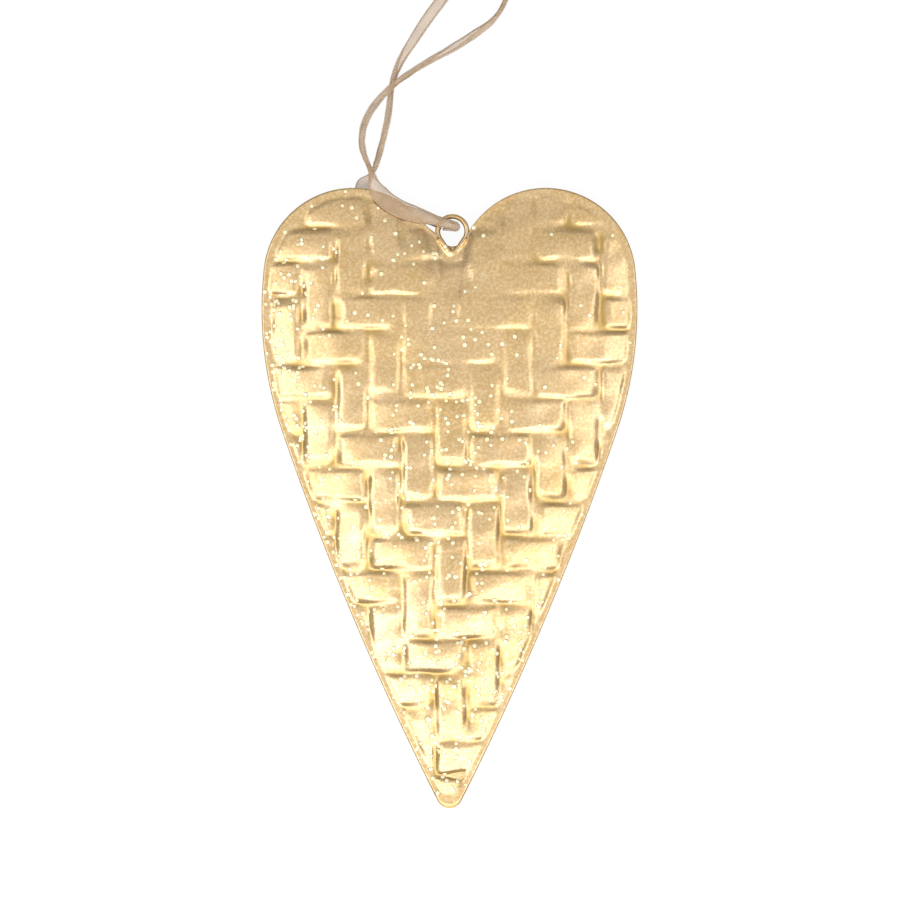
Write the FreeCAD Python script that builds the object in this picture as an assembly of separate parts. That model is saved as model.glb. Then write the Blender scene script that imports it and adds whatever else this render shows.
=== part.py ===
"""Pressed tin heart with a basket-weave relief, hung from a wire eye on a loop of ribbon.

Millimetres. The heart lies on its back as it would on a table: +Z out of its front, +Y towards
the eye, the surface at Z = 0 and the middle of the heart's own box over the origin.
"""
import FreeCAD
import Part
import math
import os

Vector = FreeCAD.Vector
UP = Vector(0, 0, 1)

# The heart's outline
heart_height = 100.0
heart_width = 60.6
lobe_radius = 14.5
lobe_end = math.radians(6.3)
shoulder_radius = 60.5
shoulder_end = math.radians(-18.9)
tip_radius = 2.1

# The two pressed sheets, soldered rim to rim
sheet = 0.3
seam_film = 0.1
rim_width = 0.9
crown_rise = 2.8
crown_centre = 17.0
level_share = 0.3
foot_flat = 0.06
cutter_overrun = 1.0

# The basket weave pressed into them: strips pass over two and under two
strip_width = 5.34
strip_height = 5.52
weave_left = -23.79
weave_top = 43.55
groove_width = 0.8
groove_depth = 0.25
weave_border = 1.2

# The wire eye in the notch
wire_diameter = 0.8
wire_sides = 8
eye_bore = 3.9
eye_offset = 0.45
eye_below_top = 6.94
leg_reach = 4.2
leg_stop = 1.0
notch_radius = 2.5
notch_open = math.radians(14)
lobe_start = math.radians(145)
solder_gap = 0.1
wire_cover = 0.25

# The ribbon, gathered into a slim strand, and its knot
strand_diameter = 1.0
strand_sides = 6
over_eye = 1.4
strand_gap = 0.25
ribbon_width = 3.0
ribbon_thickness = 0.2
knot_length = 5.0
knot_width = 4.0
knot_height = 3.0
knot_chamfer = 0.9
knot_aside = 8.2
knot_reach = 84.6
run_share = 0.45
tail_length = 10.0
tail_spread = 18.0

# Levels of the parts lying on the surface
wire_radius = wire_diameter / 2
strand_radius = strand_diameter / 2
rim_level = crown_rise + groove_depth + sheet + seam_film / 2
top_edge = heart_height / 2
eye = Vector(eye_offset, top_edge - eye_below_top, 0)
crown = Vector(0, crown_centre, 0)


def polar(centre, radius, angle):
    """The point of a level circle at an angle from +X."""
    return centre + Vector(radius * math.cos(angle), radius * math.sin(angle), 0)


def arc(centre, radius, start, end):
    """The arc of a level circle from one angle to another."""
    middle = polar(centre, radius, (start + end) / 2)
    return Part.Arc(polar(centre, radius, start), middle, polar(centre, radius, end)).toShape()


def half_outline():
    """The right half from the notch to the tip: four arcs, each tangent to the next."""
    half_width = heart_width / 2
    across = half_width - shoulder_radius + (shoulder_radius - lobe_radius) * math.cos(lobe_end)
    lobe = Vector(across, top_edge - lobe_radius, 0)
    shoulder = polar(lobe, lobe_radius - shoulder_radius, lobe_end)
    hip = polar(shoulder, shoulder_radius, shoulder_end)
    tip = Vector(0, tip_radius - top_edge, 0)
    out = polar(Vector(), 1, shoulder_end)
    reach = hip - tip
    side_radius = (reach.dot(reach) - tip_radius ** 2) / (2 * (reach.dot(out) - tip_radius))
    side = hip - out * side_radius
    to_tip = tip - side
    side_end = math.atan2(to_tip.y, to_tip.x)
    return [
        arc(lobe, lobe_radius, lobe_start, lobe_end),
        arc(shoulder, shoulder_radius, lobe_end, shoulder_end),
        arc(side, side_radius, shoulder_end, side_end),
        arc(tip, tip_radius, side_end, -math.pi / 2),
    ]


def heart_outline():
    """The closed outline: both halves and, between the lobes, the round notch under the eye."""
    right = half_outline()
    left = [edge.mirror(Vector(), Vector(1, 0, 0)) for edge in right]
    centre = Vector(eye.x, eye.y, 0)
    start = polar(centre, notch_radius, math.pi + notch_open)
    end = polar(centre, notch_radius, -notch_open)
    notch = Part.Arc(start, polar(centre, notch_radius, -math.pi / 2), end).toShape()
    top = right[0].Vertexes[0].Point
    corner = Vector(-top.x, top.y, 0)
    links = [Part.LineSegment(corner, start).toShape(), Part.LineSegment(end, top).toShape()]
    return Part.Wire(Part.__sortEdges__(right + left + [notch] + links))


outline = heart_outline()


rim_share = 1 - rim_width / (heart_width / 2)
border_share = rim_share - weave_border / (heart_width / 2)


def prism(share, low, high):
    """An upright block between two levels, inside the outline drawn in towards the crown."""
    face = Part.Face(outline.scaled(share, crown).translated(UP * low))
    return face.extrude(UP * (high - low))


def foot_prism(low, high):
    """An upright block between two levels inside the foot of the swell, with its curves in short flats."""
    points = outline.scaled(rim_share, crown).discretize(QuasiDeflection=foot_flat)
    return polygon([Vector(point.x, point.y, low) for point in points[:-1]]).extrude(UP * (high - low))


share_cache = {}


def share_at(x, y):
    """How far the outline is drawn in where it passes through a point, 1 on the outline itself."""
    key = (round(x, 6), round(y, 6))
    if key not in share_cache:
        offset = Vector(x, y, 0) - crown
        far = crown + offset * (2 * heart_height / offset.Length)
        hit = Part.LineSegment(crown, far).toShape().distToShape(outline)[1][0][1]
        share_cache[key] = offset.Length / (hit - crown).Length
    return share_cache[key]


def swell(x, y):
    """The height of the smooth swelled sheet over its rim, level in the middle."""
    fall = max(0, (share_at(x, y) - level_share) / (rim_share - level_share))
    return crown_rise * (1 - fall ** 2)


def strip_top(x, y, level):
    """A point on top of a strip, which sinks back into the plain sheet at the border."""
    fade = min(1, max(0, (rim_share - share_at(x, y)) / (rim_share - border_share)))
    return Vector(x, y, level + swell(x, y) + groove_depth * fade)


def groove_bottom(x, y, level):
    """A point at the bottom of a groove, on the smooth sheet."""
    return Vector(x, y, level + swell(x, y))


def weave_cells():
    """The cells of the weave, by column and row, that the heart covers at least in part."""
    cells = set()
    for column in range(-1, math.ceil(heart_width / strip_width) + 2):
        for row in range(-3, math.ceil(heart_height / strip_height) + 1):
            xs = [weave_left + strip_width * (column - 1 + step / 2) for step in range(3)]
            ys = [weave_top - strip_height * (row + step / 2) for step in range(3)]
            if min(share_at(x, y) for x in xs for y in ys) < 1:
                cells.add((column, row))
    return cells


def polygon(points):
    """A flat face on a list of corners."""
    return Part.Face(Part.makePolygon(points + points[:1]))


def cell_faces(column, row, level, floor, cells):
    """One cell of the weave: half of a strip's float, the flanks down to its grooves, the floor
    under it, and a wall on each side where no cell follows.

    A float covers two cells, so the side where the next cell carries it on has no flank.
    """
    place = (column + row) % 4
    joined = {0: 1, 1: 3, 2: 0, 3: 2}[place]
    left = weave_left + strip_width * (column - 1)
    bottom = weave_top - strip_height * (row + 1)
    xs = (left, left + strip_width)
    ys = (bottom, bottom + strip_height)
    flank = [0 if side == joined else groove_width / 2 for side in range(4)]
    inner_xs = (xs[0] + flank[3], xs[1] - flank[1])
    inner_ys = (ys[0] + flank[0], ys[1] - flank[2])
    order = ((0, 0), (1, 0), (1, 1), (0, 1))
    low = [groove_bottom(xs[i], ys[j], level) for i, j in order]
    high = [strip_top(inner_xs[i], inner_ys[j], level) for i, j in order]
    foot = [Vector(xs[i], ys[j], floor) for i, j in order]
    faces = [polygon([high[0], high[1], high[2]]), polygon([high[0], high[2], high[3]]), polygon(foot)]
    beside = ((0, 1), (1, 0), (0, -1), (-1, 0))
    for side in range(4):
        after = (side + 1) % 4
        rise = [high[after], high[side]] if side == joined else []
        if side != joined:
            faces.append(polygon([low[side], low[after], high[after]]))
            faces.append(polygon([low[side], high[after], high[side]]))
        if (column + beside[side][0], row + beside[side][1]) not in cells:
            faces.append(polygon([foot[side], foot[after], low[after]] + rise + [low[side]]))
    return faces


def closed_solid(faces):
    """The solid inside faces that meet edge to edge."""
    shell = Part.makeShell(faces)
    shell.sewShape()
    solid = Part.makeSolid(shell)
    if solid.Volume < 0:
        solid.reverse()
    return solid


def woven_block(level):
    """A block whose top is the woven, swelled sheet standing on a level."""
    cells = weave_cells()
    floor = level - heart_height / 4
    faces = []
    for column, row in sorted(cells):
        faces += cell_faces(column, row, level, floor, cells)
    return closed_solid(faces)


def wire_path():
    """The eye's wire: a round turn whose two legs run in towards each other under it."""
    turn = (eye_bore + wire_diameter) / 2
    lean = math.asin(turn / leg_reach)
    leg = turn / math.tan(lean) - leg_stop
    right = polar(eye, turn, -lean)
    left = polar(eye, turn, math.pi + lean)
    return [
        Part.LineSegment(right + polar(Vector(), leg, -math.pi / 2 - lean), right).toShape(),
        arc(eye, turn, -lean, math.pi / 2),
        arc(eye, turn, math.pi / 2, math.pi + lean),
        Part.LineSegment(left, left + polar(Vector(), leg, -math.pi / 2 + lean)).toShape(),
    ]


def bar(edges, section):
    """A bar along straight runs and arcs, its corners given as (aside, up) of the level start."""
    along = edges[0].tangentAt(edges[0].FirstParameter)
    aside = UP.cross(along)
    start = edges[0].valueAt(edges[0].FirstParameter)
    corners = [start + aside * out + UP * up for out, up in section]
    ring = Part.makePolygon(corners + corners[:1])
    faces = [Part.Face(ring)]
    for edge in edges:
        if isinstance(edge.Curve, Part.Circle):
            axis = edge.tangentAt(edge.FirstParameter).cross(edge.tangentAt(edge.LastParameter))
            turn = math.degrees(edge.Length / edge.Curve.Radius)
            faces += ring.revolve(edge.Curve.Center, axis.normalize(), turn).Faces
            ring.rotate(edge.Curve.Center, axis, turn)
        else:
            run = edge.valueAt(edge.LastParameter) - edge.valueAt(edge.FirstParameter)
            faces += ring.extrude(run).Faces
            ring.translate(run)
    return closed_solid(faces + [Part.Face(ring)])


def tube(edges, radius, sides):
    """A bar along edges whose section is a regular polygon, its corners on the radius."""
    turns = [2 * math.pi * corner / sides for corner in range(sides)]
    return bar(edges, [(radius * math.cos(turn), radius * math.sin(turn)) for turn in turns])


def route(points):
    """Straight runs joined by tangent arcs, each as large as its two runs allow."""
    edges = []
    radii = []
    start = points[0]
    for before, corner, after in zip(points, points[1:], points[2:]):
        back = (before - corner).normalize()
        ahead = (after - corner).normalize()
        turn = math.pi - back.getAngle(ahead)
        reach = run_share * min((before - corner).Length, (after - corner).Length)
        radius = reach / math.tan(turn / 2)
        centre = corner + (back + ahead).normalize() * (radius / math.cos(turn / 2))
        middle = centre + (corner - centre).normalize() * radius
        edges.append(Part.LineSegment(start, corner + back * reach).toShape())
        edges.append(Part.Arc(corner + back * reach, middle, corner + ahead * reach).toShape())
        radii.append(radius)
        start = corner + ahead * reach
    edges.append(Part.LineSegment(start, points[-1]).toShape())
    return edges, radii


def strand(name, places):
    """One strand of the ribbon along places counted from the eye's centre, with its facts printed."""
    points = [Vector(eye.x + x, eye.y + y, z) for x, y, z in places]
    edges, radii = route(points)
    solid = tube(edges, strand_radius, strand_sides)
    length = sum(edge.Length for edge in edges)
    section = strand_sides / 2 * strand_radius ** 2 * math.sin(2 * math.pi / strand_sides)
    filled = solid.Volume / (section * length)
    print(name, "length", round(length, 1), "least radii", [round(r, 1) for r in sorted(radii)[:4]],
          "volume over section times length", round(filled, 3))
    return solid


def front_shell():
    """The upper sheet, pressed from flat, with a raised ridge over each leg of the eye's wire."""
    joint = seam_film / 2
    high = crown_rise + sheet + groove_depth + cutter_overrun
    plate = prism(1, joint, joint + sheet)
    swelled = woven_block(joint + sheet).common(foot_prism(joint, high))
    hollow = woven_block(joint).common(foot_prism(joint, high))
    side = wire_radius + solder_gap
    cover = side + wire_cover
    ridge = ((-cover - wire_cover, 0), (cover + wire_cover, 0), (wire_radius, cover), (-wire_radius, cover))
    bulges = [bar(half, ridge).common(prism(1, joint, high)) for half in (eye_wire[:2], eye_wire[2:])]
    return plate.fuse([swelled] + bulges).cut([hollow] + wire_channels())


def wire_channels():
    """The square way that the two sheets leave for each half of the wire."""
    side = wire_radius + solder_gap
    square = ((-side, -side), (side, -side), (side, side), (-side, side))
    return [bar(half, square) for half in (eye_wire[:2], eye_wire[2:])]


def seam_films():
    """The film of solder between the two rims, the long piece last: the wire's legs part it."""
    joint = seam_film / 2
    film = prism(1, -joint, joint).cut(foot_prism(-joint, joint)).cut(wire_channels())
    return sorted(film.Solids, key=lambda piece: piece.Volume)


def eye_solder(films):
    """The solder run in round the wire between the sheets, with the film between its legs."""
    side = wire_radius + solder_gap
    block = prism(1, -side, side)
    sleeves = [channel.common(block) for channel in wire_channels()]
    return sleeves[0].fuse(sleeves[1:] + films).cut(tube(eye_wire, wire_radius, wire_sides))


def ribbon_knot():
    """The knot that ties both ends of the ribbon, with its two tails lying on the surface."""
    middle = Vector(eye.x + knot_aside, eye.y + knot_reach, 0)
    corner = middle - Vector(knot_width / 2, knot_length / 2, 0)
    block = Part.makeBox(knot_width, knot_length, knot_height, corner)
    knot = block.makeChamfer(knot_chamfer, block.Edges)
    tails = []
    for turn in (-tail_spread, tail_spread):
        half = ribbon_width / 2
        points = [
            Vector(-half, 0, 0), Vector(half, 0, 0),
            Vector(half, knot_length / 2 + tail_length, 0),
            Vector(-half, knot_length / 2 + tail_length - half, 0),
        ]
        tail = polygon(points).extrude(UP * ribbon_thickness)
        tail.rotate(Vector(), UP, turn)
        tails.append(tail.translated(middle))
    return knot.fuse(tails)


# Levels that the ribbon's strands run at
over = rim_level + over_eye
under = rim_level - over_eye
low = strand_radius
crossing = low + strand_diameter + strand_gap

front_places = [
    (-1.5, 0.93, under), (0.9, -0.5, under), (0.9, -0.5, over), (-2.3, 1.5, over), (-5.2, 2.4, over),
    (-9.1, 4.3, over), (-11.3, 6.3, over), (-12.9, 9.2, 4.1), (-14.2, 11.9, 3.1), (-14.8, 14.8, 2.3),
    (-14.2, 17.9, 1.9), (-12.6, 20.7, crossing), (-9.9, 23.5, crossing), (-7.0, 25.7, 1.3),
    (-3.3, 28.0, 0.8), (0.6, 30.1, low), (4.1, 32.3, low), (7.0, 34.7, low), (8.7, 37.5, 0.7),
    (9.6, 41.0, 1.3), (9.3, 45.3, crossing), (7.4, 50.5, crossing), (4.5, 56.3, 1.2), (3.0, 63.1, low),
    (3.6, 70.2, low), (5.0, 76.6, 0.8), (7.1, 82.6, 1.3),
]
back_places = [
    (-1.5, 0.93, under), (-4.2, 2.54, under), (-8.2, 3.1, 1.6), (-12.3, 4.3, 1.2), (-14.4, 6.6, 0.9),
    (-13.1, 9.3, 0.7), (-12.1, 11.7, 0.6), (-11.3, 14.9, low), (-10.5, 18.2, low), (-10.1, 21.1, low),
    (-9.8, 23.7, low), (-9.2, 26.1, low), (-8.0, 28.6, low), (-6.0, 31.5, low), (-3.9, 34.5, low),
    (-1.7, 37.3, low), (0.9, 40.2, low), (4.1, 44.0, low), (7.2, 48.9, low), (9.3, 54.4, low),
    (10.4, 60.6, low), (10.8, 67.0, low), (10.6, 72.8, low), (10.1, 78.0, 0.8), (9.2, 82.6, 1.3),
]

eye_wire = wire_path()
lift = UP * rim_level
os.makedirs("parts", exist_ok=True)
front = front_shell()
films = seam_films()
nodes = {
    "front_shell": front.translated(lift),
    "back_shell": front.mirror(Vector(), UP).translated(lift),
    "seam_solder": films[-1].translated(lift),
    "wire_eye": tube(eye_wire, wire_radius, wire_sides).translated(lift),
    "eye_solder": eye_solder(films[:-1]).translated(lift),
    "ribbon_front": strand("ribbon_front", front_places),
    "ribbon_back": strand("ribbon_back", back_places),
    "ribbon_knot": ribbon_knot(),
}
for name, shape in nodes.items():
    shape.exportStep("parts/" + name + ".step")
    print(name, "solids", len(shape.Solids), "volume", round(shape.Volume, 2), "valid", shape.isValid())
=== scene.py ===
"""A pressed gilt tin heart with a basket-weave relief, lying with its loop of sheer ribbon.

Lengths are written in millimetres, and become metres where a mesh is made.
"""
import math

import bpy
import numpy as np
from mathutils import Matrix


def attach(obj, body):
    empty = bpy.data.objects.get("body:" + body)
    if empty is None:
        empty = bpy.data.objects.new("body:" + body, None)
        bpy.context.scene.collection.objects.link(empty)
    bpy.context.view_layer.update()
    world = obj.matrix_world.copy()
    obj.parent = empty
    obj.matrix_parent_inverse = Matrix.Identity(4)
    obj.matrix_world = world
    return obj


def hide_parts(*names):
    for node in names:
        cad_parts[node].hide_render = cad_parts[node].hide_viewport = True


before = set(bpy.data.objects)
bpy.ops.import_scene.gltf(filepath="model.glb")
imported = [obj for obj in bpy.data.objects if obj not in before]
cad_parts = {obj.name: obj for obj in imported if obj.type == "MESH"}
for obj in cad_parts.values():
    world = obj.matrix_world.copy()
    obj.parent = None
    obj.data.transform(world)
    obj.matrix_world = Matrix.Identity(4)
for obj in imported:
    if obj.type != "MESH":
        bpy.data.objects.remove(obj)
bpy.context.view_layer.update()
MM = 0.001
scene = bpy.context.scene
scene.view_settings.view_transform = "Standard"

# The view, straight down on the heart as it lies on a white table.
# A long lens, so that the raised middle looks no larger than the rim.
rim_level = 3.4
view_middle = (0.08, 7.74)
view_width = 145.16
view_lens = 120.0
view_sensor = 36.0
view_height = rim_level + view_width * view_lens / view_sensor
camera_data = bpy.data.cameras.new("camera")
camera_data.lens = view_lens
camera_data.sensor_width = view_sensor
camera_data.clip_end = 10
camera = bpy.data.objects.new("camera", camera_data)
camera.location = (view_middle[0] * MM, view_middle[1] * MM, view_height * MM)
scene.collection.objects.link(camera)
scene.camera = camera

# The heart's two halves: sheets of thin tin pressed in one die, so both show the same basket
# weave, then soldered rim to rim and gilded. Strips of the weave pass over two and under two.
gilt_warm = (0.71, 0.495, 0.260, 1)
gilt_deep = (0.64, 0.425, 0.185, 1)
gilt_glint = (0.92, 0.75, 0.46, 1)
gilt_pit = (0.52, 0.34, 0.12, 1)
# Brown that darkens the grooves: partly tarnish in the hollows, partly painted shade.
gilt_tarnish_and_shade = (0.43, 0.27, 0.075, 1)


def add_node(material, kind, inputs, **settings):
    """A node of a material or world, with its inputs set to values or linked from sockets."""
    made = material.node_tree.nodes.new(kind)
    for name, value in settings.items():
        setattr(made, name, value)
    for name, value in inputs.items():
        if isinstance(value, bpy.types.NodeSocket):
            material.node_tree.links.new(value, made.inputs[name])
        else:
            made.inputs[name].default_value = value
    return made


def mixed(material, share, first, second):
    """The colour between two colours, by a share."""
    return add_node(material, "ShaderNodeMix", {0: share, 6: first, 7: second}, data_type="RGBA").outputs[2]


def ranged(material, value, low_in, high_in, low_out, high_out):
    """A value carried from one range to another."""
    inputs = {0: value, 1: low_in, 2: high_in, 3: low_out, 4: high_out}
    return add_node(material, "ShaderNodeMapRange", inputs).outputs[0]


def toned(material, value, low, high, first, second, most=1.0):
    """The colour that goes from one colour towards another as a value goes from low to high."""
    return mixed(material, ranged(material, value, low, high, 0.0, most), first, second)


def combined(material, operation, first, second):
    """Two values put together by a sum, a product or the like."""
    return add_node(material, "ShaderNodeMath", {0: first, 1: second}, operation=operation).outputs[0]


def grain(material, place, scale, detail):
    """Cloudy noise of so many cells a metre."""
    inputs = {"Vector": place, "Scale": scale, "Detail": detail}
    return add_node(material, "ShaderNodeTexNoise", inputs).outputs[0]


def read(material, name):
    """A value stored on the mesh's points."""
    return add_node(material, "ShaderNodeAttribute", {}, attribute_name=name).outputs[2]


def new_material(name):
    """An empty material, its shader and its place in the object's own coordinates."""
    made = bpy.data.materials.new(name)
    made.use_nodes = True
    place = add_node(made, "ShaderNodeTexCoord", {}).outputs["Object"]
    return made, made.node_tree.nodes["Principled BSDF"], place


def feed(material, shader, **values):
    """Sets the shader's sockets, or links them; an underscore stands for a space."""
    for name, value in values.items():
        socket = shader.inputs[name.replace("_", " ")]
        if isinstance(value, bpy.types.NodeSocket):
            material.node_tree.links.new(value, socket)
        else:
            socket.default_value = value


def bumped(material, height, distance, strength):
    """A surface raised by a height, at most by a distance in metres."""
    inputs = {"Height": height, "Distance": distance, "Strength": strength}
    return add_node(material, "ShaderNodeBump", inputs).outputs[0]


gilt_tin, shader, place = new_material("gilt_tin")
groove = read(gilt_tin, "groove")
patches = grain(gilt_tin, place, 110.0, 4.0)
speckle = grain(gilt_tin, place, 2300.0, 3.0)
gilt = toned(gilt_tin, patches, 0.35, 0.68, gilt_warm, gilt_deep)
gilt = toned(gilt_tin, speckle, 0.46, 0.72, gilt, gilt_glint, 0.55)
gilt = toned(gilt_tin, speckle, 0.46, 0.28, gilt, gilt_pit, 0.4)
# The grooves are darkened towards brown, partly tarnish and partly painted shade; the same value also darkens
# the rim's very edge and the tip end.
gilt = toned(gilt_tin, groove, 0.3, 1.0, gilt, gilt_tarnish_and_shade, 0.75)
dents = combined(gilt_tin, "MULTIPLY", grain(gilt_tin, place, 330.0, 2.0), 2.0)
dents = combined(gilt_tin, "ADD", dents, combined(gilt_tin, "MULTIPLY", speckle, 0.5))
feed(
    gilt_tin, shader, Base_Color=gilt, Metallic=0.97, Normal=bumped(gilt_tin, dents, 0.00005, 0.8),
    Roughness=ranged(gilt_tin, patches, 0.3, 0.7, 0.25, 0.36),
)

heart_height = 100.0
heart_width = 60.6
lobe_radius = 14.5
lobe_end = math.radians(6.3)
shoulder_radius = 60.5
shoulder_end = math.radians(-18.9)
tip_radius = 2.1
notch_radius = 2.5
notch_open = math.radians(14)
lobe_start = math.radians(145)
crown = np.array((0.0, 17.0))
eye = np.array((0.45, 43.06))
border_width = 0.9
rim_share = 1 - border_width / (heart_width / 2)
border_share = rim_share - border_width / (heart_width / 2)


def direction(angle):
    """The level way at an angle from +X."""
    return np.array((math.cos(angle), math.sin(angle)))


def arc_points(centre, radius, start, end, step):
    """Points of an arc from one angle to another, about a step apart, by cosine and sine."""
    turn = np.linspace(start, end, max(8, math.ceil(abs(end - start) * radius / step)))
    return centre + radius * np.column_stack((np.cos(turn), np.sin(turn)))


top_edge = heart_height / 2
lobe_across = heart_width / 2 - shoulder_radius + (shoulder_radius - lobe_radius) * math.cos(lobe_end)
lobe = np.array((lobe_across, top_edge - lobe_radius))
shoulder = lobe + (lobe_radius - shoulder_radius) * direction(lobe_end)
hip = shoulder + shoulder_radius * direction(shoulder_end)
tip = np.array((0, tip_radius - top_edge))
reach = hip - tip
side_radius = (reach @ reach - tip_radius ** 2) / (2 * (reach @ direction(shoulder_end) - tip_radius))
side_middle = hip - direction(shoulder_end) * side_radius
side_end = math.atan2(tip[1] - side_middle[1], tip[0] - side_middle[0])
right_half = np.vstack((
    arc_points(lobe, lobe_radius, lobe_start, lobe_end, 0.28),
    arc_points(shoulder, shoulder_radius, lobe_end, shoulder_end, 0.3),
    arc_points(side_middle, side_radius, shoulder_end, side_end, 0.3),
    arc_points(tip, tip_radius, side_end, -math.pi / 2, 0.15),
))
notch = arc_points(eye, notch_radius, math.pi + notch_open, 2 * math.pi - notch_open, 0.09)
right_flank = np.linspace(notch[-1], right_half[0], 14)
left_flank = np.linspace(right_half[0] * (-1, 1), notch[0], 20)
outline = np.vstack((right_half, right_half * (-1, 1), notch, right_flank, left_flank)) - crown
outline_angle, first = np.unique(np.round(np.arctan2(outline[:, 1], outline[:, 0]), 5), return_index=True)
outline_radius = np.hypot(outline[first, 0], outline[first, 1])


def share_of(x, y):
    """How far out a point is: 0 at the crown, 1 on the outline, along its own ray."""
    angle = np.arctan2(y - crown[1], x - crown[0])
    radius = np.interp(angle, outline_angle, outline_radius, period=2 * math.pi)
    return np.hypot(x - crown[0], y - crown[1]) / radius


strip_width = 5.34
strip_height = 5.52
weave_left = -23.79
weave_top = 43.55
strip_sway = 0.07
groove_width = 1.0
groove_depth = 0.27
end_share = 1.7
float_stand = 0.04
round_along = 0.09
round_across = 0.11
lean_along = 0.10
lean_across = 0.09
faint_most = 0.7
mean_depth = 0.70
least_depth = 0.03
most_depth = 1.35
tip_groove = -44.8


def scattered(first, second, seed):
    """A number from -1 to 1 that looks random, fixed by two whole numbers and a seed."""
    spread = np.sin(first * 127.1 + second * 311.7 + seed * 74.7) * 43758.5453
    return 2 * (spread - np.floor(spread)) - 1


def waves(x, y, longest, count, seed):
    """A smooth uneven field of about -1 to 1: slanting waves, each 0.8 as long as the one before."""
    total = np.zeros_like(x)
    for wave in range(count):
        length = longest * 0.8 ** wave
        way = 2.4 * wave + seed
        gone = (x * math.cos(way) + y * math.sin(way)) / length
        total += np.sin(2 * math.pi * gone + 1.9 * wave + 7 * seed)
    return total / math.sqrt(count)


def smooth_step(share):
    """Rises from 0 to 1 with no kink at either end: three squares of the share less two cubes."""
    share = np.clip(share, 0, 1)
    return share * share * (3 - 2 * share)


def weave(x, y):
    """The weave's height over the smooth sheet and its groove, 0 on a float and 1 between floats.

    Each cell belongs to a float two cells long. It falls to its grooves on every side but the
    one where the float goes on, is a little rounded both ways and leans a little its own way.
    The strips run unevenly, and the die has pressed some grooves deep and others hardly at all,
    most faintly in the upper middle. One deep groove crosses the tip.
    """
    x, y = x + strip_sway * waves(x, y, 29, 4, 0.4), y + strip_sway * waves(x, y, 25, 4, 1.3)
    column = np.floor((x - weave_left) / strip_width) + 1
    row = np.floor((weave_top - y) / strip_height)
    across = (x - weave_left) / strip_width - column + 1
    down = (weave_top - y) / strip_height - row
    cell = np.mod(column + row, 4)
    level = cell < 2
    after = (cell == 1) | (cell == 3)
    along = (np.where(level, across, down) + after) / 2
    over_strip = np.where(level, down, across)
    float_column = column - (level & after)
    float_row = row - (~level & after)
    strip = np.where(level, strip_height, strip_width)
    soft = groove_width * (1 + 0.24 * waves(x, y, 13, 4, 2.1))
    near_side = smooth_step(over_strip * strip / soft)
    far_side = smooth_step((1 - over_strip) * strip / soft)
    first_end = smooth_step(2 * along * strip / (end_share * soft))
    last_end = smooth_step(2 * (1 - along) * strip / (end_share * soft))
    rise = near_side * far_side * first_end * last_end
    rounded = float_stand + round_along * (1 - (2 * along - 1) ** 2)
    rounded += round_across * (1 - (2 * over_strip - 1) ** 2)
    lean = lean_along * (2 * along - 1) * scattered(float_column, float_row, 4)
    lean += lean_across * (2 * over_strip - 1) * scattered(float_column, float_row, 5)
    calm = 1 - faint_most * smooth_step((y - 4) / 22) * np.exp(-((x - 3) / 17) ** 2)
    uneven = 0.38 + 0.22 * smooth_step((y - 6) / 18)
    deep = calm * np.clip(mean_depth + uneven * waves(x, y, 9, 5, 0.9), least_depth, most_depth)
    deep *= 1 + 0.12 * smooth_step((12 - y) / 30)
    deep += 0.8 * np.exp(-((y - tip_groove) / 2) ** 2)
    height = calm * rise * (rounded + lean) - groove_depth * deep * (1 - rise)
    return height, deep * (1 - rise)


eye_radius = 2.35
leg_aim = 4.2
leg_short = 1.0
leg_lean = math.asin(eye_radius / leg_aim)
leg_length = eye_radius / math.tan(leg_lean) - leg_short
right_start = eye + eye_radius * direction(-leg_lean)
left_start = eye + eye_radius * direction(math.pi + leg_lean)
right_leg = (right_start, right_start + leg_length * direction(-math.pi / 2 - leg_lean))
left_leg = (left_start, left_start + leg_length * direction(-math.pi / 2 + leg_lean))
level_share = 0.3
rim_height = 0.35
swell_height = 2.94
foot_soft = 0.05
dent_height = 0.10
edge_share = 0.993
edge_turn = 0.16
ridge_flat = 0.12
ridge_width = 0.9
ridge_blend = 0.004
right_ridge = 0.78
left_ridge = 0.98


def off_leg(x, y, leg):
    """How far a point is from one leg of the wire: from the nearest point of its line."""
    way = leg[1] - leg[0]
    share = np.clip(((x - leg[0][0]) * way[0] + (y - leg[0][1]) * way[1]) / (way @ way), 0, 1.12)
    return np.hypot(x - leg[0][0] - share * way[0], y - leg[0][1] - share * way[1])


def sheet_shape(x, y):
    """A sheet's height over the seam and how deep in a groove it is.

    The swell falls from the crown as the square of the share past the level middle. The weave
    fades into the plain border, two ridges cover the wire's legs, and the rim's edge turns down.
    """
    share = share_of(x, y)
    fall = np.clip((share - level_share) / (rim_share - level_share), 0, 1)
    fade = smooth_step((rim_share - share) / (rim_share - border_share))
    relief, groove = weave(x, y)
    swell = np.sqrt((1 - fall ** 2) ** 2 + foot_soft ** 2) - foot_soft
    height = rim_height + swell_height * swell + fade * (relief + dent_height * waves(x, y, 22, 8, 0.7))
    height -= edge_turn * smooth_step((share - edge_share) / (1 - edge_share))
    # This value darkens the gilt with brown tarnish and painted shade; here it is also raised along the rim's
    # very edge and over the tip end, which come out darker.
    groove = groove * fade + 0.55 * smooth_step((share - 0.99) / 0.006) + 0.45 * smooth_step((-43 - y) / 4)
    for leg, tall in ((right_leg, right_ridge), (left_leg, left_ridge)):
        ridge = tall * (1 - smooth_step((off_leg(x, y, leg) - ridge_flat) / ridge_width))
        height = (height + ridge + np.sqrt((height - ridge) ** 2 + ridge_blend)) / 2
    return height, np.clip(groove, 0, 1)


grid_across = 31.0
grid_down = 51.0
grid_step = 0.28
inner_lip = 0.05
inner_swell = 1.8
# The inner skin inside the hollow takes part of the grooves' darkening, tarnish and painted shade alike.
inner_tarnish_and_shade = 0.5


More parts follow.
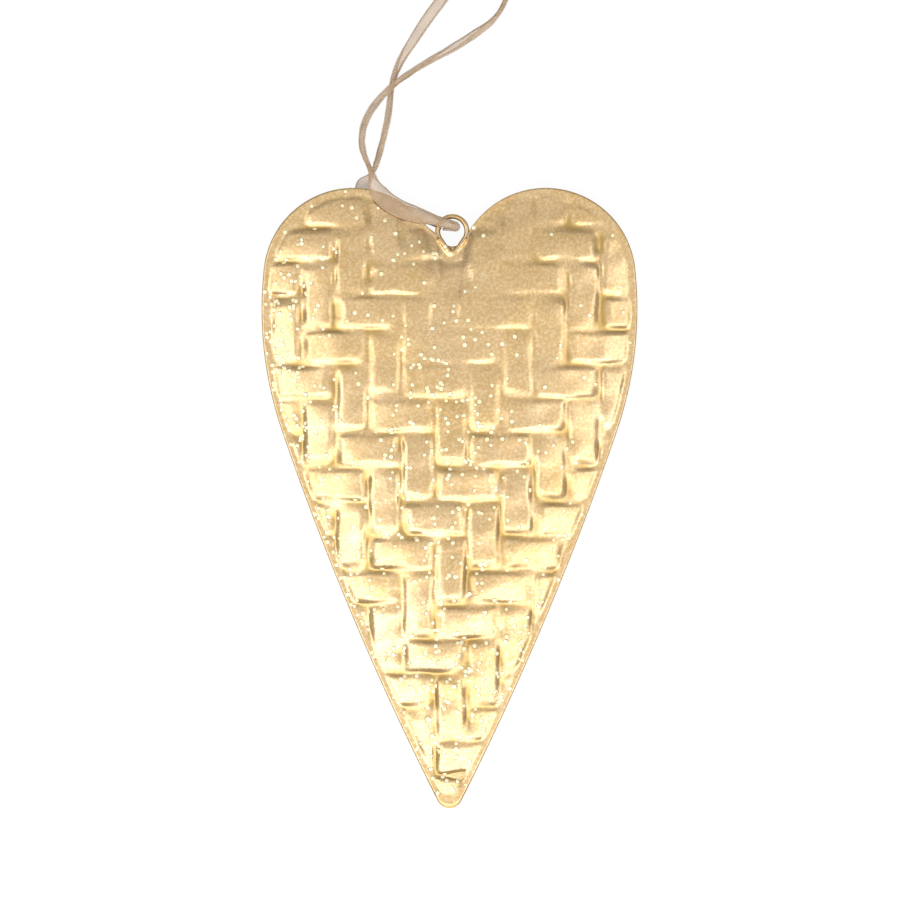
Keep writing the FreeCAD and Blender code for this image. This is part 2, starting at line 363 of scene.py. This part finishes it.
def grid_faces(rows, columns, wrap_columns=False, wrap_rows=False, turned_over=False):
    """The quads of a grid of rows by columns, its points counted row by row."""
    row = np.arange(rows if wrap_rows else rows - 1)
    column = np.arange(columns if wrap_columns else columns - 1)
    row, column = (part.ravel() for part in np.meshgrid(row, column, indexing="ij"))
    after_row = (row + 1) % rows
    after = (column + 1) % columns
    first, next_first = row * columns, after_row * columns
    corners = (first + column, first + after, next_first + after, next_first + column)
    return np.column_stack(corners[::-1] if turned_over else corners).tolist()


def sheet_mesh():
    """Points over the seam, faces and grooves of one sheet, its outer side up.

    An even grid, its edge pulled in to the foot of the swell, then rings that follow
    the outline: across the rim, down its edge and back in under the sheet to a pole. The
    inner skin is smooth, a lower swell of the same kind.
    """
    across = np.arange(-grid_across, grid_across, grid_step)
    down = np.arange(-grid_down, grid_down, grid_step)
    y, x = (part.ravel() for part in np.meshgrid(down, across, indexing="ij"))
    share = share_of(x, y)
    inside = share < rim_share
    pull = np.where(inside, 1, rim_share / np.maximum(share, rim_share))
    x = crown[0] + (x - crown[0]) * pull
    y = crown[1] + (y - crown[1]) * pull
    quads = np.array(grid_faces(len(down), len(across)))
    quads = quads[inside[quads].any(axis=1)]
    used, quads = np.unique(quads, return_inverse=True)
    x, y = x[used], y[used]
    height, groove = sheet_shape(x, y)
    points = np.column_stack((x, y, height))
    faces = quads.reshape(-1, 4).tolist()

    rim = rim_share + (1 - rim_share) * np.array((0, 0.2, 0.4, 0.6, 0.75, 0.85, 0.92, 0.97, 1.0))
    inner = np.array((1.0, rim_share, 0.8, 0.6, 0.4, 0.2, 0.03))
    shares = np.concatenate((rim, inner))
    radius = shares[:, None] * outline_radius
    ring_x = crown[0] + radius * np.cos(outline_angle)
    ring_y = crown[1] + radius * np.sin(outline_angle)
    ring_height, ring_groove = sheet_shape(ring_x, ring_y)
    fall = np.clip((inner - level_share) / (rim_share - level_share), 0, 1)
    ring_height[len(rim):] = (inner_lip + inner_swell * (1 - fall ** 2))[:, None]
    ring_groove[len(rim):] = inner_tarnish_and_shade
    count = len(outline_angle)
    base = len(points)
    rings = np.array(grid_faces(count, len(shares), wrap_rows=True))
    column, row = rings // len(shares), rings % len(shares)
    faces += (base + row * count + column).tolist()
    pole = base + len(shares) * count
    last = base + (len(shares) - 1) * count
    turn = np.arange(count)
    faces += np.column_stack((last + turn, np.full(count, pole), last + (turn + 1) % count)).tolist()
    ring_points = np.column_stack((ring_x.ravel(), ring_y.ravel(), ring_height.ravel()))
    points = np.vstack((points, ring_points, (crown[0], crown[1], inner_lip + inner_swell)))
    return points, faces, np.concatenate((groove, ring_groove.ravel(), (inner_tarnish_and_shade,)))


def add_piece(name, points, faces, body, material, values=None):
    """A smooth mesh of points in millimetres, with values stored on its points, riding on a body."""
    mesh = bpy.data.meshes.new(name)
    mesh.from_pydata((np.asarray(points) * MM).tolist(), [], faces)
    mesh.polygons.foreach_set("use_smooth", np.ones(len(mesh.polygons), bool))
    for key, numbers in (values or {}).items():
        stored = mesh.attributes.new(key, "FLOAT", "POINT")
        stored.data.foreach_set("value", np.asarray(numbers, np.float32).ravel())
    mesh.materials.append(material)
    mesh.update()
    piece = bpy.data.objects.new(name, mesh)
    scene.collection.objects.link(piece)
    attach(piece, body)
    return piece


points, faces, groove = sheet_mesh()
front = points + (0, 0, rim_level)
front_sheet = add_piece("front_sheet", front, faces, "heart", gilt_tin, {"groove": groove})
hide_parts("front_shell")
back = points * (1, 1, -1) + (0, 0, rim_level)
back[:, 2] = np.maximum(back[:, 2], 0)
turned_faces = [face[::-1] for face in faces]
back_sheet = add_piece("back_sheet", back, turned_faces, "heart", gilt_tin, {"groove": groove})
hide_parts("back_shell")

# The eye: one turn of dull gilt wire between the lobes, for the ribbon. Its two legs run in
# between the sheets, where solder holds them.
wire_thickness = 0.8
wire_sides = 20
wire_bright = (0.72, 0.53, 0.28, 1)
wire_dull = (0.54, 0.37, 0.17, 1)
dull_wire, shader, place = new_material("dull_wire")
tone = grain(dull_wire, place, 700.0, 3.0)
feed(
    dull_wire, shader, Metallic=1.0, Normal=bumped(dull_wire, tone, 0.00002, 0.5),
    Base_Color=toned(dull_wire, tone, 0.35, 0.65, wire_bright, wire_dull),
    Roughness=ranged(dull_wire, tone, 0.3, 0.7, 0.3, 0.45),
)


def level_frame(line, closed=False):
    """For each point of a line its run, a level side and the third way, the side never flipping."""
    run = np.roll(line, -1, axis=0) - np.roll(line, 1, axis=0) if closed else np.gradient(line, axis=0)
    run /= np.linalg.norm(run, axis=1)[:, None]
    side = np.column_stack((-run[:, 1], run[:, 0], np.zeros(len(run))))
    side /= np.linalg.norm(side, axis=1)[:, None] + 1e-9
    flips = np.sign(np.sum(side[1:] * side[:-1], axis=1))
    side[1:] *= np.cumprod(np.where(flips < 0, -1, 1))[:, None]
    return run, side, np.cross(run, side)


def tube(line, radius, sides, closed=False):
    """A round bar along a line: circles of a radius about each of its points, and their faces."""
    run, side, rise = level_frame(line, closed)
    turn = np.linspace(0, 2 * math.pi, sides, endpoint=False)
    ring = np.cos(turn)[None, :, None] * side[:, None, :] + np.sin(turn)[None, :, None] * rise[:, None, :]
    points = line[:, None, :] + np.broadcast_to(radius, (len(line), sides))[..., None] * ring
    faces = grid_faces(len(line), sides, wrap_columns=True, wrap_rows=closed)
    if not closed:
        faces.append(list(range(sides))[::-1])
        faces.append(list(range((len(line) - 1) * sides, len(line) * sides)))
    return points, faces


wire_line = np.vstack((
    np.linspace(right_leg[1], right_leg[0], 14)[:-1],
    arc_points(eye, eye_radius, -leg_lean, math.pi + leg_lean, 0.09),
    np.linspace(left_leg[0], left_leg[1], 14)[1:],
))
wire_line = np.column_stack((wire_line, np.full(len(wire_line), rim_level)))
points, faces = tube(wire_line, wire_thickness / 2, wire_sides)
wire = add_piece("eye_wire", points.reshape(-1, 3), faces, "heart", dull_wire)
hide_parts("wire_eye")

# Solder: the film that joins the rims, and what has run in round the wire. Grey and dull, with
# the gilding only dusted over it.
solder_gilded = (0.50, 0.40, 0.24, 1)
solder_grey = (0.38, 0.33, 0.26, 1)
solder, shader, place = new_material("solder")
tone = grain(solder, place, 900.0, 4.0)
feed(
    solder, shader, Metallic=0.9, Normal=bumped(solder, tone, 0.00002, 0.6),
    Base_Color=toned(solder, tone, 0.35, 0.65, solder_gilded, solder_grey),
    Roughness=ranged(solder, tone, 0.3, 0.7, 0.4, 0.55),
)
for node in ("seam_solder", "eye_solder"):
    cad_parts[node].data.materials.clear()
    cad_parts[node].data.materials.append(solder)

# Glitter: hundreds of small pale flakes strewn on the wet lacquer, thick down the middle, along
# the left edge and towards the tip, thin on the right lobe.
flake_gold = (1.0, 0.86, 0.46, 1)
flake_pale = (1.0, 0.93, 0.66, 1)
flake_shade = (0.50, 0.35, 0.13, 1)
flake_radius = (0.27, 0.40)
flake_rings = ((0.8, 0.0), (1.15, 0.06))
flake_lift = 0.04
flake_tilt = 0.06
flake_steepest = 0.5
front_flakes = 760
back_flakes = 480
glitter, shader, place = new_material("glitter")
tone = grain(glitter, place, 900.0, 1.0)
pale = toned(glitter, tone, 0.35, 0.65, flake_gold, flake_pale)
pale = toned(glitter, read(glitter, "rim"), 0.1, 0.8, pale, flake_shade)
feed(glitter, shader, Base_Color=pale, Metallic=0.25, Roughness=0.4)


def flake_share(x, y):
    """How thickly the flakes lie at a point, 1 at the most.

    The thickest of a bell across the middle, a band along each edge and a field towards the
    tip, and a sparse strewing over all of it, thinner on the right lobe.
    """
    share = share_of(x, y)
    middle = np.exp(-((x + 2) / 10) ** 2) * smooth_step((34 - y) / 14)
    left_edge = smooth_step((share - 0.72) / 0.15) * (x < 0) * smooth_step((44 - y) / 8)
    tip_end = 0.8 * smooth_step((-12 - y) / 14)
    right_edge = 0.5 * smooth_step((share - 0.8) / 0.1) * (x > 0) * smooth_step((8 - y) / 14)
    sparse = 0.14 - 0.11 * smooth_step((x - 3) / 6) * smooth_step((y - 12) / 8)
    most = np.maximum.reduce((0.55 * middle, left_edge, tip_end, right_edge))
    return np.clip(most + sparse, 0, 1) * (share < 0.985)


def flakes(count, seed):
    """Eight-sided flakes 0.6 to 0.9 mm across on the sheet, each tilted a little its own way.

    Each has a flat top and a sloping rim where the lacquer has drawn up round it. Places are
    drawn evenly, and kept by chance as thickly as the flakes lie there.
    """
    random = np.random.default_rng(seed)
    draws = 12 * count
    x = random.uniform(-grid_across, grid_across, draws)
    y = random.uniform(-top_edge, top_edge, draws)
    kept = np.flatnonzero(random.random(draws) < flake_share(x, y))[:count]
    x, y = x[kept], y[kept]
    step = 0.1
    slope_x = (sheet_shape(x + step, y)[0] - sheet_shape(x - step, y)[0]) / (2 * step)
    slope_y = (sheet_shape(x, y + step)[0] - sheet_shape(x, y - step)[0]) / (2 * step)
    slope_x = np.clip(slope_x, -flake_steepest, flake_steepest) + random.normal(0, flake_tilt, len(x))
    slope_y = np.clip(slope_y, -flake_steepest, flake_steepest) + random.normal(0, flake_tilt, len(x))
    radius = random.uniform(*flake_radius, len(x))
    turn = np.linspace(0, 2 * math.pi, 8, endpoint=False) + random.uniform(0, 1, len(x))[:, None]
    out_x = radius[:, None] * np.cos(turn)
    out_y = radius[:, None] * np.sin(turn)
    level = sheet_shape(x, y)[0][:, None] + flake_lift
    rings = []
    for size, drop in flake_rings:
        top = level + size * (out_x * slope_x[:, None] + out_y * slope_y[:, None]) - drop
        rings.append(np.stack((x[:, None] + size * out_x, y[:, None] + size * out_y, top), axis=-1))
    points = np.concatenate(rings, axis=1).reshape(-1, 3)
    rim = np.tile(np.repeat((0.0, 1.0), 8), len(x))
    corner = np.arange(8)
    after = (corner + 1) % 8
    walls = np.column_stack((corner, corner + 8, after + 8, after))
    first = 16 * np.arange(len(x))[:, None, None]
    faces = (first[:, 0] + corner).tolist() + (first[:, 0] + corner[::-1] + 8).tolist()
    return points, faces + (first + walls).reshape(-1, 4).tolist(), rim


points, faces, rim = flakes(front_flakes, 5)
add_piece("glitter_front", points + (0, 0, rim_level), faces, "heart", glitter, {"rim": rim})
points, faces, rim = flakes(back_flakes, 8)
points = points * (1, 1, -1) + (0, 0, rim_level)
points[:, 2] = np.maximum(points[:, 2], 0)
faces = [face[::-1] for face in faces]
add_piece("glitter_back", points, faces, "heart", glitter, {"rim": rim})

# The ribbon: thin sheer cloth 3 mm wide, threaded once through the eye. Its two strands open out
# over and behind the left lobe, then roll up into slim cords that cross twice and end in a knot.
# Their places count from the eye's middle; over, under, low and crossing are heights over the table.
over = rim_level + 1.4
under = rim_level - 1.4
low = 0.5
crossing = 1.75
front_places = [
    (-1.5, 0.93, under), (0.75, 0.7, under), (0.75, 0.7, over), (-2.3, 1.5, over), (-5.2, 2.4, 4.6),
    (-8.6, 3.5, 4.5), (-10.7, 4.9, 4.5), (-12.2, 6.6, 4.3), (-12.9, 9.2, 3.8), (-14.2, 11.9, 3.1),
    (-14.8, 14.8, 2.3), (-14.2, 17.9, 1.9), (-12.6, 20.7, crossing), (-9.9, 23.5, crossing),
    (-7.0, 25.7, 1.3), (-3.3, 28.0, 0.8), (0.6, 30.1, low), (4.1, 32.3, low), (7.0, 34.7, low),
    (8.7, 37.5, 0.7), (9.6, 41.0, 1.3), (9.3, 45.3, crossing), (7.4, 50.5, crossing), (4.5, 56.3, 1.2),
    (3.0, 63.1, low), (3.6, 70.2, low), (5.0, 76.6, 0.8), (7.1, 82.6, 1.3),
]
back_places = [
    (-1.5, 0.93, under), (-4.2, 2.54, under), (-8.2, 3.1, 1.6), (-12.3, 4.3, 1.4), (-14.8, 6.7, 1.4),
    (-13.1, 9.3, 1.1), (-12.1, 11.7, 0.9), (-11.3, 14.9, low), (-10.5, 18.2, low), (-10.1, 21.1, low),
    (-9.8, 23.7, low), (-9.2, 26.1, low), (-8.0, 28.6, low), (-6.0, 31.5, low), (-3.9, 34.5, low),
    (-1.7, 37.3, low), (0.9, 40.2, low), (4.1, 44.0, low), (7.2, 48.9, low), (9.3, 54.4, low),
    (10.4, 60.6, low), (10.8, 67.0, low), (10.6, 72.8, low), (10.1, 78.0, 0.8), (9.2, 82.6, 1.3),
]
ribbon_width = 3.0
ribbon_thickness = 0.14
ribbon_columns = 29
route_step = 0.2
table_gap = 0.02
weft_pitch = 0.42
weft_share = 0.6
warp_turn = 46.0
warp_share = 0.3
selvedge_start = 0.84
selvedge_full = 0.93
selvedge_cover = 0.84
cloth_cover = 0.46
roll_wind = 0.10
fold_depth = 0.05
cloth_deep = (0.60, 0.41, 0.24, 1)
cloth_pale = (0.80, 0.60, 0.38, 1)
thread_shade = (0.50, 0.34, 0.19, 1)
selvedge_shade = (0.42, 0.28, 0.17, 1)

# Length along the strand, how far the cloth curls round (radians) and how far it is turned over.
front_curl = [
    (0, 4.6, 3.1), (5.2, 4.6, 3.1), (7.0, 4.2, 3.1), (8.6, 3.2, 3.1), (11.4, 1.7, 3.2), (14.6, 1.0, 3.2),
    (17.8, 1.3, 3.3), (19.4, 3.0, 3.4), (20.8, 5.8, 3.6), (22.3, 9.8, 3.9), (25, 7.4, 4.7), (28.2, 6.0, 5.7),
    (33, 5.6, 6.7), (37, 7.0, 7.7), (39, 8.0, 8.3), (42, 7.2, 9.1), (50, 5.0, 9.9), (54, 5.4, 10.4),
    (57, 7.4, 11.1), (59.5, 10.5, 12.1), (63, 7.6, 12.7), (109, 6.6, 19.0),
]
back_curl = [
    (0, 4.6, 0), (4, 3.2, 0), (7, 2.0, 0), (10.5, 0.8, 0), (14.2, 0.6, 0.1), (15.3, 1.7, 0.3),
    (16.2, 3.3, 0.4), (16.9, 5.6, 0.5), (17.6, 9.8, 0.8), (19.5, 7.6, 1.6), (22, 7.0, 2.4), (28, 6.4, 4.0),
    (31.7, 8.4, 5.0), (33.5, 7.0, 5.6), (35.5, 5.6, 6.0), (39.5, 4.3, 6.5), (44, 3.5, 6.8),
    (48, 3.0, 7.0), (54, 4.2, 8.0), (60, 6.5, 9.2), (97, 6.6, 15.0),
]

sheer_cloth, shader, place = new_material("sheer_cloth")
across = read(sheer_cloth, "across")
along = read(sheer_cloth, "along")
aside = combined(sheer_cloth, "ABSOLUTE", across, 0.0)
edge = ranged(sheer_cloth, aside, selvedge_start, selvedge_full, 0.0, 1.0)
weft = combined(sheer_cloth, "SINE", combined(sheer_cloth, "MULTIPLY", along, 2 * math.pi / weft_pitch), 0.0)
warp = combined(sheer_cloth, "SINE", combined(sheer_cloth, "MULTIPLY", across, warp_turn), 0.0)
warp = combined(sheer_cloth, "MULTIPLY", warp, warp_share)
thread = combined(sheer_cloth, "ADD", combined(sheer_cloth, "MULTIPLY", weft, weft_share), warp)
cloud = grain(sheer_cloth, place, 420.0, 3.0)
cloth = toned(sheer_cloth, cloud, 0.3, 0.7, cloth_deep, cloth_pale)
cloth = toned(sheer_cloth, thread, -0.9, 0.9, cloth, thread_shade, 0.45)
cloth = toned(sheer_cloth, edge, 0.0, 1.0, cloth, selvedge_shade, 0.35)
feed(
    sheer_cloth, shader, Base_Color=cloth, Roughness=0.62, Sheen_Weight=0.35, Sheen_Roughness=0.4,
    Alpha=ranged(sheer_cloth, edge, 0.0, 1.0, cloth_cover, selvedge_cover),
    Normal=bumped(sheer_cloth, thread, 0.00004, 0.6),
)


def smooth_line(places):
    """A route in millimetres from places counted from the eye: even points on a smooth spline.

    Also gives how far along the route each point lies.
    """
    data = bpy.data.curves.new("route", "CURVE")
    data.dimensions = "3D"
    data.resolution_u = 24
    spline = data.splines.new("NURBS")
    spline.points.add(len(places) - 1)
    spline.points.foreach_set("co", np.array([(eye[0] + x, eye[1] + y, z, 1) for x, y, z in places]).ravel())
    spline.order_u = 3
    spline.use_endpoint_u = True
    carrier = bpy.data.objects.new("route", data)
    scene.collection.objects.link(carrier)
    bpy.context.view_layer.update()
    mesh = bpy.data.meshes.new_from_object(carrier)
    line = np.empty(3 * len(mesh.vertices))
    mesh.vertices.foreach_get("co", line)
    line = line.reshape(-1, 3)
    bpy.data.objects.remove(carrier)
    bpy.data.curves.remove(data)
    bpy.data.meshes.remove(mesh)
    gone = np.concatenate(([0], np.cumsum(np.linalg.norm(np.diff(line, axis=0), axis=1))))
    steps = np.linspace(0, gone[-1], math.ceil(gone[-1] / route_step))
    return np.column_stack([np.interp(steps, gone, line[:, axis]) for axis in range(3)]), steps


def curled_cloth(line, steps, bend, turned):
    """A strip of cloth along a line, both skins, with its share across and its length along.

    Across it, the cloth lies on an arc that turns through the bend's angle, nearly flat at 0.3
    and rolled up past 6, and the arc is turned about the line. One edge lies a little further
    out, so that the roll winds clear of itself, and shallow folds run along the curled cloth.
    """
    run, side, rise = level_frame(line)
    share = np.linspace(-1, 1, ribbon_columns)
    share = np.concatenate((share, share[::-1]))
    skin = np.repeat((ribbon_thickness / 2, -ribbon_thickness / 2), ribbon_columns)
    bend = bend[:, None]
    turned = turned[:, None]
    angle = bend * share / 2
    radius = ribbon_width / bend * (1 + roll_wind * share * smooth_step((bend - 4) / 2))
    folded = np.sin(7 * math.pi * share + 3 * np.sin(steps / 4.1)[:, None])
    fold = fold_depth * smooth_step((bend - 2) / 3) * folded
    reach = radius + skin + fold
    out = reach * np.sin(angle)
    up = reach * np.cos(angle) - radius * np.sin(bend / 2) / (bend / 2)
    sideways = out * np.cos(turned) - up * np.sin(turned)
    upwards = out * np.sin(turned) + up * np.cos(turned)
    points = line[:, None, :] + sideways[..., None] * side[:, None, :] + upwards[..., None] * rise[:, None, :]
    values = {
        "across": np.broadcast_to(share, points.shape[:2]),
        "along": np.broadcast_to(steps[:, None], points.shape[:2]),
    }
    return points, values, run


def add_cloth(name, points, values):
    """A piece of the ribbon from its rows of points, both ends closed and all of it over the table."""
    rows, count = points.shape[:2]
    points[..., 2] = np.maximum(points[..., 2], table_gap)
    faces = grid_faces(rows, count, wrap_columns=True, turned_over=True)
    faces.append(list(range(count)))
    faces.append(list(range(rows * count - 1, (rows - 1) * count - 1, -1)))
    return add_piece(name, points.reshape(-1, 3), faces, "hanging_loop", sheer_cloth, values)


for name, node, places, curl in (
    ("front_strand", "ribbon_front", front_places, front_curl),
    ("back_strand", "ribbon_back", back_places, back_curl),
):
    line, steps = smooth_line(places)
    table = np.array(curl, float)
    bend = np.interp(steps, table[:, 0], table[:, 1])
    turned = np.interp(steps, table[:, 0], table[:, 2])
    points, values, run = curled_cloth(line, steps, bend, turned)
    strand = add_cloth(name, points, values)
    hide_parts(node)

# The knot: both ends of the ribbon tied in one overhand knot, drawn up small and firm, out of
# sight past the photograph's edge. Its coils follow a three-lobed knot's line, and the rolled-up
# ribbon is a bar with shallow folds that wind round it.
knot_middle = np.array((eye[0] + 8.2, eye[1] + 84.6, 1.5))
coil_size = (0.56, 0.72, 0.62)
coil_points = 220
coil_sides = 24
coil_thickness = 1.2
coil_fold = 0.07
turn = np.linspace(0, 2 * math.pi, coil_points, endpoint=False)
coil = np.column_stack((
    np.sin(turn) + 2 * np.sin(2 * turn),
    np.cos(turn) - 2 * np.cos(2 * turn),
    -np.sin(3 * turn),
))
around = np.linspace(0, 2 * math.pi, coil_sides, endpoint=False)
coil_radius = coil_thickness / 2 + coil_fold * np.sin(5 * around + 2 * np.sin(4 * turn)[:, None])
points, faces = tube(coil * coil_size + knot_middle, coil_radius, coil_sides, closed=True)
points[..., 2] = np.maximum(points[..., 2], table_gap)
values = {
    "across": np.broadcast_to(0.8 * np.sin(around), points.shape[:2]),
    "along": np.broadcast_to(3.2 * turn[:, None], points.shape[:2]),
}
knot = add_piece("knot_coils", points.reshape(-1, 3), faces, "hanging_loop", sheer_cloth, values)
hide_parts("ribbon_knot")

# The two tails past the knot: the ribbon's own ends, which open out flat again on the table. Each
# is cut on the slant.
tail_length = 12.2
tail_rows = 62
tail_spread = math.radians(18)
tail_start = 1.3
tail_rest = 0.12
tail_down = 6
tail_bend = 2.6
tail_unroll = 2.3
tail_open = 5
tail_slant = 0.75
for name, lean in (("left_tail", tail_spread), ("right_tail", -tail_spread)):
    steps = np.linspace(0, tail_length, tail_rows)
    drop = tail_start * (1 - smooth_step(steps / tail_down)) + tail_rest
    line = np.column_stack((
        knot_middle[0] - steps * math.sin(lean), knot_middle[1] + steps * math.cos(lean), drop,
    ))
    bend = tail_bend - tail_unroll * smooth_step(steps / tail_open)
    points, values, run = curled_cloth(line, steps, bend, np.zeros(len(steps)))
    slant = -tail_slant * (1 + values["across"]) * smooth_step((steps / tail_length - 0.5) / 0.5)[:, None]
    points += slant[..., None] * run[:, None, :]
    add_cloth(name, points, values)

# The white table and the light: three wide soft lamps, past the tip and to both sides, in an even
# white room that is dimmer low down. The lamps' places and sizes are in metres, their strength in
# watts.
lamp_height = 0.52
lamp_colour = (0.87, 0.90, 1.0)
room_rise = (0.35, 0.85)
low_room = 0.3
high_room = 0.95
least_room = 0.5
table_reach = 3.0
table_grey = (0.88, 0.88, 0.88, 1)
table_glow = 1.04
glow_share = 0.9
for name, x, y, wide, deep, energy in (
    ("tip_lamp", 0.0, -0.365, 0.9, 0.40, 2.8),
    ("left_lamp", -0.46, -0.06, 0.6, 0.38, 1.5),
    ("right_lamp", 0.46, -0.06, 0.6, 0.38, 1.0),
):
    lamp_data = bpy.data.lights.new(name, "AREA")
    lamp_data.shape = "RECTANGLE"
    lamp_data.size = wide
    lamp_data.size_y = deep
    lamp_data.energy = energy
    lamp_data.color = lamp_colour
    lamp = bpy.data.objects.new(name, lamp_data)
    lamp.location = (x, y, lamp_height)
    lamp.rotation_euler = (math.atan2(math.hypot(x, y), lamp_height), 0, math.atan2(x, -y))
    scene.collection.objects.link(lamp)

room = bpy.data.worlds.new("room")
room.use_nodes = True
scene.world = room
rays = add_node(room, "ShaderNodeLightPath", {}).outputs
way = add_node(room, "ShaderNodeTexCoord", {}).outputs["Generated"]
upward = add_node(room, "ShaderNodeSeparateXYZ", {0: way}).outputs["Z"]
shown = ranged(room, upward, *room_rise, low_room, high_room)
mirrored = combined(room, "MULTIPLY", rays["Is Glossy Ray"], shown)
seen = combined(room, "MAXIMUM", rays["Is Camera Ray"], rays["Is Transmission Ray"])
strength = combined(room, "MAXIMUM", combined(room, "MAXIMUM", seen, mirrored), least_room)
white = room.node_tree.nodes["Background"]
white.inputs["Color"].default_value = (1, 1, 1, 1)
room.node_tree.links.new(strength, white.inputs["Strength"])

table_white = bpy.data.materials.new("table_white")
table_white.use_nodes = True
links = table_white.node_tree.links
rays = add_node(table_white, "ShaderNodeLightPath", {}).outputs
diffuse = add_node(table_white, "ShaderNodeBsdfDiffuse", {"Color": table_grey}).outputs[0]
glow = add_node(table_white, "ShaderNodeEmission", {"Strength": table_glow}).outputs[0]
share = ranged(table_white, rays["Is Camera Ray"], 0.0, 1.0, 0.0, glow_share)
both = add_node(table_white, "ShaderNodeMixShader", {0: share, 1: diffuse, 2: glow}).outputs[0]
links.new(both, table_white.node_tree.nodes["Material Output"].inputs["Surface"])
table_mesh = bpy.data.meshes.new("table")
table_corners = [(x * table_reach, y * table_reach, 0) for x, y in ((-1, -1), (1, -1), (1, 1), (-1, 1))]
table_mesh.from_pydata(table_corners, [], [(0, 1, 2, 3)])
table_mesh.materials.append(table_white)
table_top = bpy.data.objects.new("table", table_mesh)
scene.collection.objects.link(table_top)
